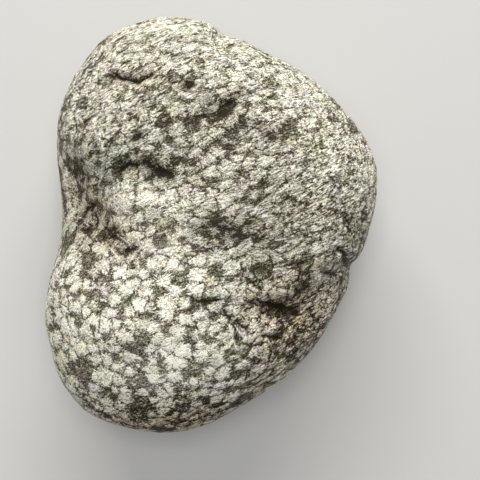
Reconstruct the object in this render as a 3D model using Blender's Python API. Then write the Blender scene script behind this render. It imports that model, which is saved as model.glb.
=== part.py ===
"""Snowflake obsidian pebble: one water-worn stone, lying on its flattest side.

The row frame has its origin on the resting face, under the middle of the stone, with +Y along the
stone's length and +Z up through its broad face. The stone starts as a cube: every point of the cube's
skin gives a direction, and every direction a place on a rounded body whose plan is the outline below.
Domes, hollows and grooves are then raised or sunk square to that body. Sizes are in millimetres.
"""

import bmesh
import bpy
import numpy as np

MM = 0.001

# The plan seen from above, anticlockwise, as places that one smooth closed curve runs through.
OUTLINE = [
    (21.6, 3.2), (21.3, 7.9), (19.4, 11.8), (16.5, 15.4), (12.4, 18.9), (7.8, 21.6), (3.2, 24.0), (-1.2, 26.2),
    (-5.5, 26.9), (-9.9, 26.1), (-14.3, 24.3), (-17.8, 20.1), (-20.0, 15.2), (-20.7, 10.8), (-20.4, 6.5),
    (-19.8, 2.1), (-20.1, -2.3), (-21.5, -7.6), (-21.9, -11.8), (-21.3, -15.6), (-20.0, -20.4), (-17.0, -24.5),
    (-12.3, -26.8), (-7.1, -27.6), (-1.7, -26.7), (3.4, -24.3), (9.1, -20.8), (13.1, -16.6), (16.3, -11.6),
    (18.4, -7.2), (20.2, -2.1),
]
STEPS_BETWEEN_PLACES = 12

GIRTH_HEIGHT = 12.6     # mean height of the widest level above the resting face
CROWN_RISE = 13.4       # from the girth to the top, before the domes
BELLY_DROP = 13.2       # from the girth to the underside, before it is worn flat
WORN_EDGE = 0.3         # half the height over which the underside eases into the resting face
SHOULDER = 0.86         # power of the latitude: below 1 the body is fuller than an ellipsoid
ROUNDING = 0.45         # how far the outline eases to a plain oval by the top and the bottom
OVAL = (20.6, 27.0)     # half width and half length of that oval

# How the girth sways up and down round the stone: waves in one turn; turn of the crest; height.
GIRTH_SWAYS = [
    (1, 40.0, 0.8),
    (2, 110.0, 0.7),
    (3, 250.0, 0.35),
]

CELLS = 28              # cells along each edge of the cube
CROWDING = 0.2          # how much finer the cells are on the broad face than on the underside

# Domes and hollows of the broad face: middle x, y; half lengths along and across; turn in degrees; rise.
CROWN_FORMS = [
    (-5.4, -11.6, 11.0, 8.5, 20.0, 1.3),      # dome of the lower lobe
    (-6.1, 13.4, 8.5, 7.0, 35.0, 0.8),        # dome of the upper left lobe
    (8.7, 6.7, 8.5, 6.5, -55.0, 1.0),         # right shoulder
    (-17.7, 1.9, 6.5, 4.6, -66.0, -1.8),      # scoop at the waist
    (-12.7, -1.7, 4.0, 1.8, -55.0, -0.6),     # foot of the scoop's wall
    (-13.4, 6.2, 5.0, 2.0, -6.0, -0.5),       # shaded hollow above the scoop
    (-17.6, 6.3, 2.0, 1.6, 0.0, -0.4),        # dark pocket at its rim end
    (-7.6, 5.8, 4.2, 1.2, -11.0, -0.4),       # crease under the upper lobe
    (-7.7, 2.4, 4.2, 2.0, -20.0, 0.6),        # swelling between the crease and the scoop
    (8.8, -11.5, 3.6, 1.8, -8.0, -1.6),       # deep pit of the lower right
    (13.4, -8.3, 4.6, 2.4, 32.0, -0.9),       # valley from the right edge to the pit
    (8.6, -8.3, 3.0, 1.4, 18.0, 0.35),        # tongue above the pit
    (4.0, -12.2, 3.2, 1.8, -20.0, 0.35),      # raised lip at the pit's left
    (0.6, -1.1, 3.4, 1.6, -8.0, -0.45),       # middle dent
    (7.4, -3.5, 5.6, 1.9, 14.0, -0.35),       # trough at the middle dent's right
    (0.8, 13.2, 4.2, 1.5, 25.0, -0.6),        # upper hollow
    (3.1, 10.3, 3.0, 1.5, 75.0, -0.4),        # its branch towards the middle
    (-10.2, 17.1, 3.2, 1.2, -3.0, -0.4),      # brow hollow of the upper left lobe
    (-9.5, 19.2, 2.4, 1.4, 5.0, 0.3),         # brow above it
]

# Grooves across the rim: start x, y; end x, y; half width; depth.
RIM_GROOVES = [
    (23.5, -5.6, 16.9, -6.2, 1.3, 0.75),      # notch at the right edge
    (2.3, 28.0, 1.5, 22.6, 1.5, 0.6),         # notch at the top edge
]

# Domes and hollows of the underside, written as the broad face's are.
BELLY_FORMS = [
    (9.0, 12.0, 9.0, 7.0, -30.0, 1.0),
    (-9.0, -14.0, 9.0, 7.0, 25.0, 0.8),
    (-13.0, 9.0, 8.0, 5.0, 60.0, -1.4),
    (13.0, -10.0, 8.0, 4.5, 60.0, -1.5),
    (-3.0, 21.0, 6.0, 4.0, 0.0, 0.6),
]

# Slow waves all over: wave lengths along x, y and z; phase in radians; height.
WAVES = [
    ((40.0, 17.0, 21.0), 0.6, 0.14),
    ((-25.0, 12.0, -17.0), 2.1, 0.08),
    ((-15.0, 7.0, 13.0), 4.0, 0.05),
    ((13.0, -21.0, 11.0), 5.2, 0.10),
]
WAVES_AT_GIRTH = 0.4    # the share of their height that the waves keep at the girth

# Latitudes, as the upright part of a direction, between which the forms fade in.
FACE_FADE = (0.0, 0.4)
RIM_FADE = (-0.55, -0.1)

STONE_COLOUR = (0.36, 0.35, 0.31, 1.0)
STONE_ROUGHNESS = 0.78


def closed_curve(places, steps):
    """Points of a Catmull-Rom curve that runs through every place and closes on itself."""
    p1 = np.array(places)
    p0, p2, p3 = (np.roll(p1, shift, axis=0) for shift in (1, -1, -2))
    t = (np.arange(steps) / steps)[None, :, None]
    a, b, c, d = (p[:, None, :] for p in (p0, p1, p2, p3))
    curve = b + 0.5 * t * (c - a + t * (2 * a - 5 * b + 4 * c - d + t * (3 * (b - c) + d - a)))
    return curve.reshape(-1, 2)


def outline_reach(angle):
    """How far the outline lies from the middle of the plan, in each direction."""
    curve = closed_curve(OUTLINE, STEPS_BETWEEN_PLACES)
    angles = np.arctan2(curve[:, 1], curve[:, 0])
    order = np.argsort(angles)
    return np.interp(angle, angles[order], np.hypot(*curve.T)[order], period=2 * np.pi)


def oval_reach(angle):
    """The same for the plain oval that the top and the bottom ease to."""
    half_width, half_length = OVAL
    return 1 / np.hypot(np.cos(angle) / half_width, np.sin(angle) / half_length)


def body(directions):
    """Each direction's place on the plain body: its plan shrinks by the cosine of the latitude while it
    rises or drops by the sine, each raised to the shoulder's power, above or below a swaying girth."""
    x, y, z = directions.T
    level = np.hypot(x, y)
    angle = np.arctan2(y, x)
    eased = ROUNDING * np.abs(z) ** 1.5
    reach = (1 - eased) * outline_reach(angle) + eased * oval_reach(angle)
    out = reach * level ** SHOULDER
    rise = np.where(z > 0, CROWN_RISE, BELLY_DROP) * np.sign(z) * np.abs(z) ** SHOULDER
    sway = sum(height * np.cos(count * angle - np.radians(crest)) for count, crest, height in GIRTH_SWAYS)
    return np.column_stack([out * np.cos(angle), out * np.sin(angle), GIRTH_HEIGHT + rise + sway * level ** 3])


def forms(points, table):
    """The sum of bell-shaped domes and hollows, each an oval in plan."""
    total = np.zeros(len(points))
    for x, y, along, across, turn, rise in table:
        turn = np.radians(turn)
        dx, dy = points[:, 0] - x, points[:, 1] - y
        u = (dx * np.cos(turn) + dy * np.sin(turn)) / along
        v = (dy * np.cos(turn) - dx * np.sin(turn)) / across
        total += rise * np.exp(-(u * u + v * v))
    return total


def grooves(points, table):
    """The sum of bell-shaped grooves, deepest along the straight line between their two ends."""
    total = np.zeros(len(points))
    for x0, y0, x1, y1, half_width, depth in table:
        start, run = np.array([x0, y0]), np.array([x1 - x0, y1 - y0])
        offset = points[:, :2] - start
        along = np.clip(offset @ run / (run @ run), 0, 1)
        away = np.linalg.norm(offset - along[:, None] * run, axis=1)
        total -= depth * np.exp(-((away / half_width) ** 2))
    return total


def waves(points):
    """The sum of slow plane waves, each with its own direction."""
    total = np.zeros(len(points))
    for lengths, phase, height in WAVES:
        total += height * np.sin(points @ (2 * np.pi / np.array(lengths)) + phase)
    return total


def fade(value, low, high):
    """0 below low, 1 above high and a smooth step between."""
    t = np.clip((value - low) / (high - low), 0, 1)
    return t * t * (3 - 2 * t)


def relief(directions, points):
    """How far each point of the body is raised, square to the body."""
    up = directions[:, 2]
    crown, belly, rim = fade(up, *FACE_FADE), fade(-up, *FACE_FADE), fade(up, *RIM_FADE)
    swell = WAVES_AT_GIRTH + (1 - WAVES_AT_GIRTH) * np.maximum(crown, belly)
    faces = crown * forms(points, CROWN_FORMS) + belly * forms(points, BELLY_FORMS)
    return faces + rim * grooves(points, RIM_GROOVES) + swell * waves(points)


def worn_flat(height):
    """Heights with the underside worn off at 0: straight above, level below, and a curve between."""
    eased = (height + WORN_EDGE) ** 2 / (4 * WORN_EDGE)
    return np.where(height > WORN_EDGE, height, np.where(height < -WORN_EDGE, 0.0, eased))


def cube_skin(cells):
    """A mesh of a cube whose faces are each cut into a square grid of cells."""
    mesh = bpy.data.meshes.new("stone")
    cube = bmesh.new()
    bmesh.ops.create_cube(cube, size=2.0)
    bmesh.ops.subdivide_edges(cube, edges=cube.edges[:], cuts=cells - 1, use_grid_fill=True)
    cube.to_mesh(mesh)
    cube.free()
    return mesh


def vertex_values(mesh, name):
    """One three-number value of every vertex, as an array."""
    values = np.empty(len(mesh.vertices) * 3, np.float32)
    mesh.vertices.foreach_get(name, values)
    return values.reshape(-1, 3).astype(float)


def unit(vectors):
    return vectors / np.linalg.norm(vectors, axis=1, keepdims=True)


def set_places(mesh, points):
    mesh.vertices.foreach_set("co", points.astype(np.float32).ravel())
    mesh.update()


def stone_mesh():
    """The cube's skin, bent to equal angles and crowded upwards, set on the body, raised by the relief
    and worn flat below."""
    mesh = cube_skin(CELLS)
    even = unit(np.tan(vertex_values(mesh, "co") * np.pi / 4))
    directions = unit(even + (0, 0, CROWDING))
    plain = body(directions)
    set_places(mesh, plain)
    points = plain + relief(directions, plain)[:, None] * vertex_values(mesh, "normal")
    points[:, 2] = worn_flat(points[:, 2])
    set_places(mesh, points * MM)
    mesh.shade_smooth()
    return mesh


def stone_material():
    material = bpy.data.materials.new("stone")
    material.use_nodes = True
    shader = material.node_tree.nodes["Principled BSDF"]
    shader.inputs["Base Color"].default_value = STONE_COLOUR
    shader.inputs["Roughness"].default_value = STONE_ROUGHNESS
    shader.inputs["Metallic"].default_value = 0.0
    return material


def clear_scene():
    for old in list(bpy.data.objects):
        bpy.data.objects.remove(old)


def main():
    clear_scene()
    parts = bpy.data.collections.new("snowflake_obsidian")
    bpy.context.scene.collection.children.link(parts)
    stone = bpy.data.objects.new("stone", stone_mesh())
    stone.data.materials.append(stone_material())
    parts.objects.link(stone)


main()
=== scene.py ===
"""Snowflake obsidian pebble, dressed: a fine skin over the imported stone, its material, and a plain studio.

The stone is one piece of grey volcanic glass, worn round by water and etched dull, so that the pale
snowflakes grown in the glass stand a hair above it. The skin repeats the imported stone's form from the same
outline and the same domes and hollows, then adds what is too fine for that solid: the snowflakes' own low
domes, the cracks where they meet, the grain of the flow, creases, gashes and pits. Shapes are worked out in
millimetres and become Blender's metres as the mesh is filled.
"""

import itertools

import bpy
import numpy as np
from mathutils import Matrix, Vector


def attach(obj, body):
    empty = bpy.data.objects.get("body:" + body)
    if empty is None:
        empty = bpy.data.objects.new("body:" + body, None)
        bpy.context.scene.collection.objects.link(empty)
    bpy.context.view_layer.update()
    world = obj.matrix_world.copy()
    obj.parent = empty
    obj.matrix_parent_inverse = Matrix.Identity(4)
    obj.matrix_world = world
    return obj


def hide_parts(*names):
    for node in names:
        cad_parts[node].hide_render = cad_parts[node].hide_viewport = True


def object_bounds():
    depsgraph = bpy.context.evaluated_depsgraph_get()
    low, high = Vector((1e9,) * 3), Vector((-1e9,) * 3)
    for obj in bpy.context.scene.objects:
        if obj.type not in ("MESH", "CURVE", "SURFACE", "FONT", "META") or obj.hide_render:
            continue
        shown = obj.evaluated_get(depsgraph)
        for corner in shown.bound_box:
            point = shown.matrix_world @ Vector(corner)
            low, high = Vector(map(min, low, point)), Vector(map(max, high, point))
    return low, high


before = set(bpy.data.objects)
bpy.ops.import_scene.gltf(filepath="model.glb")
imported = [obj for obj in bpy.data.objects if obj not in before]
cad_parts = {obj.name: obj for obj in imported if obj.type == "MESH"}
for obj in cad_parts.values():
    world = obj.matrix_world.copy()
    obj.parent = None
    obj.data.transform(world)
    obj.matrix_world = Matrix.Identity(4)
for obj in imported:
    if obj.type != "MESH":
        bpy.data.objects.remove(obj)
CAD_LOW, CAD_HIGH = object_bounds()

bl_info = {
    "name": "Snowflake Obsidian Pebble",
    "version": (1, 0, 0),
    "blender": (4, 5, 0),
    "location": "View3D > Sidebar > Obsidian",
    "description": "Builds a water-worn snowflake obsidian pebble and a plain studio round it",
    "category": "Add Mesh",
}

MM = 0.001
NEXT_TO_NOTHING = 1e-9

# The plan seen from above, anticlockwise, as places that one smooth closed curve runs through.
OUTLINE = [
    (21.6, 3.2), (21.3, 7.9), (19.4, 11.8), (16.5, 15.4), (12.4, 18.9), (7.8, 21.6), (3.2, 24.0),
    (-1.2, 26.2), (-5.5, 26.9), (-9.9, 26.1), (-14.3, 24.3), (-17.8, 20.1), (-20.0, 15.2),
    (-20.7, 10.8), (-20.4, 6.5), (-19.8, 2.1), (-20.1, -2.3), (-21.5, -7.6), (-21.9, -11.8),
    (-21.3, -15.6), (-20.0, -20.4), (-17.0, -24.5), (-12.3, -26.8), (-7.1, -27.6), (-1.7, -26.7),
    (3.4, -24.3), (9.1, -20.8), (13.1, -16.6), (16.3, -11.6), (18.4, -7.2), (20.2, -2.1),
]
STEPS_BETWEEN_PLACES = 12
SHOULDER = 0.86  # power of the latitude: below 1 the body is fuller than an ellipsoid
ROUNDING = 0.45  # how far the outline eases to a plain oval by the top and the bottom
ROUNDING_POWER = 1.5  # above 1 it eases late
OVAL = (20.6, 27.0)  # half width and half length of that oval

# How the girth sways up and down round the stone: waves in one turn; turn of the crest; height.
GIRTH_SWAYS = [
    (1, 40.0, 0.8),
    (2, 110.0, 0.7),
    (3, 250.0, 0.35),
]
SWAY_POWER = 3  # how quickly the sways die out towards the top and the bottom

# Domes and hollows of the broad face: middle x, y; half lengths along and across; turn in degrees; rise.
CROWN_FORMS = [
    (-5.4, -11.6, 11.0, 8.5, 20.0, 1.3),  # dome of the lower lobe
    (-6.1, 13.4, 8.5, 7.0, 35.0, 0.8),  # dome of the upper left lobe
    (8.7, 6.7, 8.5, 6.5, -55.0, 1.0),  # right shoulder
    (-17.7, 1.9, 6.5, 4.6, -66.0, -1.8),  # scoop at the waist
    (-12.7, -1.7, 4.0, 1.8, -55.0, -0.6),  # foot of the scoop's wall
    (-13.4, 6.2, 5.0, 2.0, -6.0, -0.5),  # shaded hollow above the scoop
    (-17.6, 6.3, 2.0, 1.6, 0.0, -0.4),  # dark pocket at its rim end
    (-7.6, 5.8, 4.2, 1.2, -11.0, -0.4),  # crease under the upper lobe
    (-7.7, 2.4, 4.2, 2.0, -20.0, 0.6),  # swelling between the crease and the scoop
    (8.8, -11.5, 3.6, 1.8, -8.0, -1.6),  # deep pit of the lower right
    (13.4, -8.3, 4.6, 2.4, 32.0, -0.9),  # valley from the right edge to the pit
    (8.6, -8.3, 3.0, 1.4, 18.0, 0.35),  # tongue above the pit
    (4.0, -12.2, 3.2, 1.8, -20.0, 0.35),  # raised lip at the pit's left
    (0.6, -1.1, 3.4, 1.6, -8.0, -0.45),  # middle dent
    (7.4, -3.5, 5.6, 1.9, 14.0, -0.35),  # trough at the middle dent's right
    (0.8, 13.2, 4.2, 1.5, 25.0, -0.6),  # upper hollow
    (3.1, 10.3, 3.0, 1.5, 75.0, -0.4),  # its branch towards the middle
    (-10.2, 17.1, 3.2, 1.2, -3.0, -0.4),  # brow hollow of the upper left lobe
    (-9.5, 19.2, 2.4, 1.4, 5.0, 0.3),  # brow above it
]

# Grooves across the rim, each along one straight run of places: places; half width; depth.
RIM_GROOVES = [
    ([(23.5, -5.6), (16.9, -6.2)], 1.3, 0.75),  # notch at the right edge
    ([(2.3, 28.0), (1.5, 22.6)], 1.5, 0.6),  # notch at the top edge
]

# Domes and hollows of the underside, written as the broad face's are.
BELLY_FORMS = [
    (9.0, 12.0, 9.0, 7.0, -30.0, 1.0),  # swelling under the right shoulder
    (-9.0, -14.0, 9.0, 7.0, 25.0, 0.8),  # swelling under the lower lobe
    (-13.0, 9.0, 8.0, 5.0, 60.0, -1.4),  # hollow under the scoop's upper end
    (13.0, -10.0, 8.0, 4.5, 60.0, -1.5),  # hollow under the valley
    (-3.0, 21.0, 6.0, 4.0, 0.0, 0.6),  # swelling near the narrower end
]

# Slow waves all over: wave lengths along x, y and z; phase in radians; height.
WAVES = [
    ((40.0, 17.0, 21.0), 0.6, 0.14),
    ((-25.0, 12.0, -17.0), 2.1, 0.08),
    ((-15.0, 7.0, 13.0), 4.0, 0.05),
    ((13.0, -21.0, 11.0), 5.2, 0.10),
]
WAVES_AT_GIRTH = 0.4  # the share of their height that the waves keep at the girth

# Latitudes, as the upright part of a direction, between which the forms fade in.
FACE_FADE = (0.0, 0.4)
RIM_FADE = (-0.55, -0.1)
# The upright part of the normal between which the marks of the broad face fade in.
MARKS_FADE = (0.0, 0.3)

# The net of the skin: cells along the width, length and height of a box, the angles from the middle of the
# stone to the box's top edges, and how the cells crowd towards the broad face.
CELLS = (142, 180, 70)
EDGE_ANGLES = (60.0, 66.0, 30.0)
CROWDING = 0.15

# Where each face of that box lies in the unit square of its flat map: its axis and side; x, y; width and
# height.
MAP_PATCHES = {
    (2, 1): (0.0, 0.38, 0.56, 0.62),
    (2, 0): (0.56, 0.38, 0.44, 0.62),
    (0, 1): (0.0, 0.19, 0.5, 0.19),
    (0, 0): (0.5, 0.19, 0.5, 0.19),
    (1, 1): (0.0, 0.0, 0.5, 0.19),
    (1, 0): (0.5, 0.0, 0.5, 0.19),
}
MAP_MARGIN = 0.004

# The way that the glass once flowed, in the plan: streaks and stretched snowflakes lie along it. It bends
# over ovals of the plan: x, y; half lengths along and across; turn in degrees; bend in degrees.
FLOW_TURN = 22.0
FLOW_BENDS = [
    (9.0, -17.0, 9.0, 7.0, 35.0, 14.0),  # low right
    (0.0, 0.0, 9.0, 4.0, 10.0, -8.0),  # middle
]
FLOW_SWAY = 0.35  # how far the lines along the flow sway
FLOW_SWAY_GRAIN = (3.5, 16)  # size and seed of that sway

# How far the snowflakes are stretched along the flow, over ovals written in the same way.
STRETCHES = [
    (-3.0, -0.5, 12.0, 4.0, 15.0, 0.50),  # waist and middle
    (-6.0, 0.6, 5.0, 2.6, 10.0, 0.30),  # below the lit ridge of the waist
    (8.0, 4.0, 14.0, 8.0, -45.0, 0.15),  # right shoulder
    (10.0, -14.0, 7.0, 5.0, 35.0, 0.35),  # low right slope
]
LEAST_STRETCH = 1.18
STREAKED_STRETCH = 0.35  # what the streaks add
STRETCH_SPREAD = (0.9, 1.15)

# The streaked part of the stone. Across this direction of the plan, faint streaks set in between two
# distances, and over ovals of the plan they grow strong: x, y; half lengths; turn in degrees; strength.
STREAKS_TOWARDS = (0.45, 0.89)
STREAKS_FROM = (-6.0, 3.0)
FAINT_STREAKS = 0.20
STRONG_STREAKS = [
    (-3.0, 22.5, 18.0, 6.5, -8.0, 0.45),  # top
    (-15.5, 15.0, 6.0, 9.0, 20.0, 0.35),  # upper left edge
    (16.0, 4.0, 8.5, 13.0, 10.0, 0.70),  # right side
    (12.0, -14.0, 8.0, 4.5, 40.0, 0.75),  # low right slope
    (-6.0, -25.0, 12.0, 3.0, 5.0, 0.40),  # bottom rim
]

# Creases, cracks and gashes of the broad face: the places they run through; half width; depth; darkness,
# which is painted shade along the line.
CREASES = [
    ([(-13.3, 18.5), (-11.5, 17.9), (-10.1, 17.5), (-8.8, 17.3), (-7.3, 18.0)], 0.30, 0.45, 1.2),  # brow
    ([(-14.3, 17.4), (-12.3, 17.3)], 0.20, 0.12, 0.6),  # streak at its left
    ([(-2.8, 16.8), (-2.4, 17.0)], 0.60, 0.45, 1.5),  # round pit
    ([(-9.3, 10.1), (-8.6, 10.6)], 0.55, 0.45, 1.8),  # pit of the left lobe
    ([(-8.2, 11.8), (-9.6, 11.0)], 0.20, 0.12, 0.6),  # into the left pit
    ([(0.4, 12.2), (1.5, 13.0), (2.3, 13.9)], 0.65, 0.25, 0.85),  # bed of the upper hollow
    ([(-1.0, 12.6), (0.4, 13.2), (1.6, 14.1), (2.4, 14.4)], 0.25, 0.25, 0.6),  # its upper edge
    ([(2.2, 14.5), (3.9, 15.5), (5.4, 15.9), (7.0, 16.6)], 0.20, 0.12, 0.4),  # edge that runs on from it
    ([(6.5, 14.6), (7.3, 14.3), (8.1, 13.6)], 0.20, 0.10, 0.5),  # arc at the upper right
    ([(5.4, 12.0), (6.8, 11.7)], 0.20, 0.10, 0.5),  # short line below it
    ([(3.4, 6.1), (4.4, 5.2)], 0.20, 0.25, 0.9),  # small crack
    ([(-11.2, 6.1), (-9.9, 6.8), (-8.9, 6.7)], 0.30, 0.20, 1.3),  # waist crease, left
    ([(-7.9, 7.2), (-7.0, 6.6), (-6.2, 6.0), (-4.6, 5.4)], 0.60, 0.20, 1.0),  # waist crease, right
    ([(-16.4, 0.8), (-15.8, 1.6), (-14.8, 2.1)], 0.40, 0.18, 1.0),  # arc in the scoop
    ([(-14.6, 1.2), (-14.3, 0.2), (-14.4, -0.5)], 0.30, 0.18, 0.9),  # upright line at its end
    ([(-13.0, -0.8), (-12.3, -1.1), (-11.7, -0.9)], 0.40, 0.12, 0.9),  # foot of the scoop's wall
    ([(-13.0, -2.0), (-11.8, -1.9), (-11.0, -2.4)], 0.30, 0.15, 0.8),  # second line of the foot
    ([(-11.6, -3.2), (-10.4, -4.3)], 0.25, 0.15, 0.6),  # on from it
    ([(-10.3, -3.8), (-9.4, -3.5), (-8.7, -3.1)], 0.35, 0.15, 0.9),  # black bit at the foot's right
    ([(-16.4, -1.0), (-15.4, -1.1)], 0.35, 0.12, 0.8),  # bed of the scoop
    ([(-1.5, -9.6), (-0.4, -9.7), (0.6, -9.5)], 0.40, 0.30, 1.1),  # black streak of the lobe
    ([(0.6, -9.5), (2.1, -9.2), (3.5, -9.4)], 0.18, 0.08, 0.4),  # its faint right end
    ([(-2.1, -9.1), (-2.0, -9.9), (-2.2, -10.8)], 0.30, 0.15, 0.6),  # upright line at its left end
    ([(1.8, -10.7), (2.2, -11.4), (2.6, -11.9)], 0.40, 0.50, 1.1),  # upper gash
    ([(3.1, -12.7), (3.4, -14.3)], 0.34, 0.40, 1.4),  # left gash
    ([(3.5, -12.1), (4.5, -13.2)], 0.24, 0.40, 1.3),  # right gash
    ([(6.6, -14.1), (8.6, -14.4)], 0.32, 0.40, 1.7),  # slit
    ([(4.6, -6.8), (5.4, -7.4), (6.2, -8.2)], 0.30, 0.30, 1.0),  # wedge above the pit
    ([(5.8, -9.4), (7.0, -9.9), (8.4, -10.3)], 0.30, 0.15, 0.9),  # line of the pit
    ([(8.4, -10.3), (9.6, -10.9), (10.8, -11.1)], 0.90, 0.05, 0.45),  # broad shade on from it
    ([(9.1, -10.9), (11.0, -10.6)], 0.25, 0.15, 0.5),  # streak at the pit's right
    ([(4.3, -10.7), (5.2, -10.2)], 0.25, 0.20, 0.8),  # bit at the pit's left
    ([(7.4, -11.0), (8.4, -11.5), (9.6, -11.7)], 0.90, 0.10, 0.45),  # bed of the pit
    ([(16.0, -3.4), (17.4, -4.4)], 0.28, 0.30, 1.3),  # crack above the notch
    ([(16.9, -4.6), (17.3, -5.4), (18.2, -5.9)], 0.45, 0.30, 0.8),  # black of the notch
    ([(14.2, -6.4), (15.1, -6.6), (16.2, -6.4)], 0.50, 0.30, 0.7),  # in the valley
    ([(14.6, 5.5), (16.1, 4.3)], 0.20, 0.10, 0.5),  # line of the right side
    ([(10.8, 1.0), (11.9, 1.5)], 0.20, 0.10, 0.5),  # line below the shoulder
    ([(12.2, -3.0), (12.7, -2.4)], 0.20, 0.15, 0.7),  # line above the notch
    ([(11.0, -14.0), (12.6, -13.1)], 0.20, 0.20, 0.8),  # streak of the low right
    ([(13.4, -12.6), (14.1, -12.0)], 0.20, 0.20, 0.8),  # short line past it
]

# Sharp little ridges, written as the creases are, with their rise in place of the depth. Their darkness
# under 0 is a painted highlight along the ridge, as on the lit ridge of the waist, and above 0 painted
# shade, as under the brow.
RIDGES = [
    ([(-11.7, 18.8), (-10.1, 18.6), (-8.5, 18.6), (-7.5, 18.9)], 0.70, 0.25, 0.1),  # brow
    ([(2.5, -12.8), (2.8, -14.2), (3.4, -15.5)], 0.24, 0.15, -0.9),  # beside the gashes
    ([(3.3, -12.8), (3.9, -13.6), (4.4, -14.3)], 0.24, 0.12, -0.9),  # the same, right
    ([(-9.5, 3.0), (-8.5, 3.3), (-7.3, 3.1), (-6.1, 2.3)], 0.60, 0.08, -0.1),  # lit ridge of the waist
    ([(-12.3, -3.2), (-11.0, -4.8)], 0.15, 0.05, -0.5),  # at the scoop's foot
    ([(7.4, -9.3), (8.7, -8.7), (9.9, -8.4)], 0.35, 0.04, -0.1),  # tongue above the pit
    ([(10.9, -11.5), (11.8, -10.9), (12.7, -10.4)], 0.20, 0.10, -0.4),  # pale streak at the pit's right
    ([(2.1, 23.6), (1.3, 22.6)], 0.30, 0.15, -0.4),  # by the top notch
]
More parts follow.
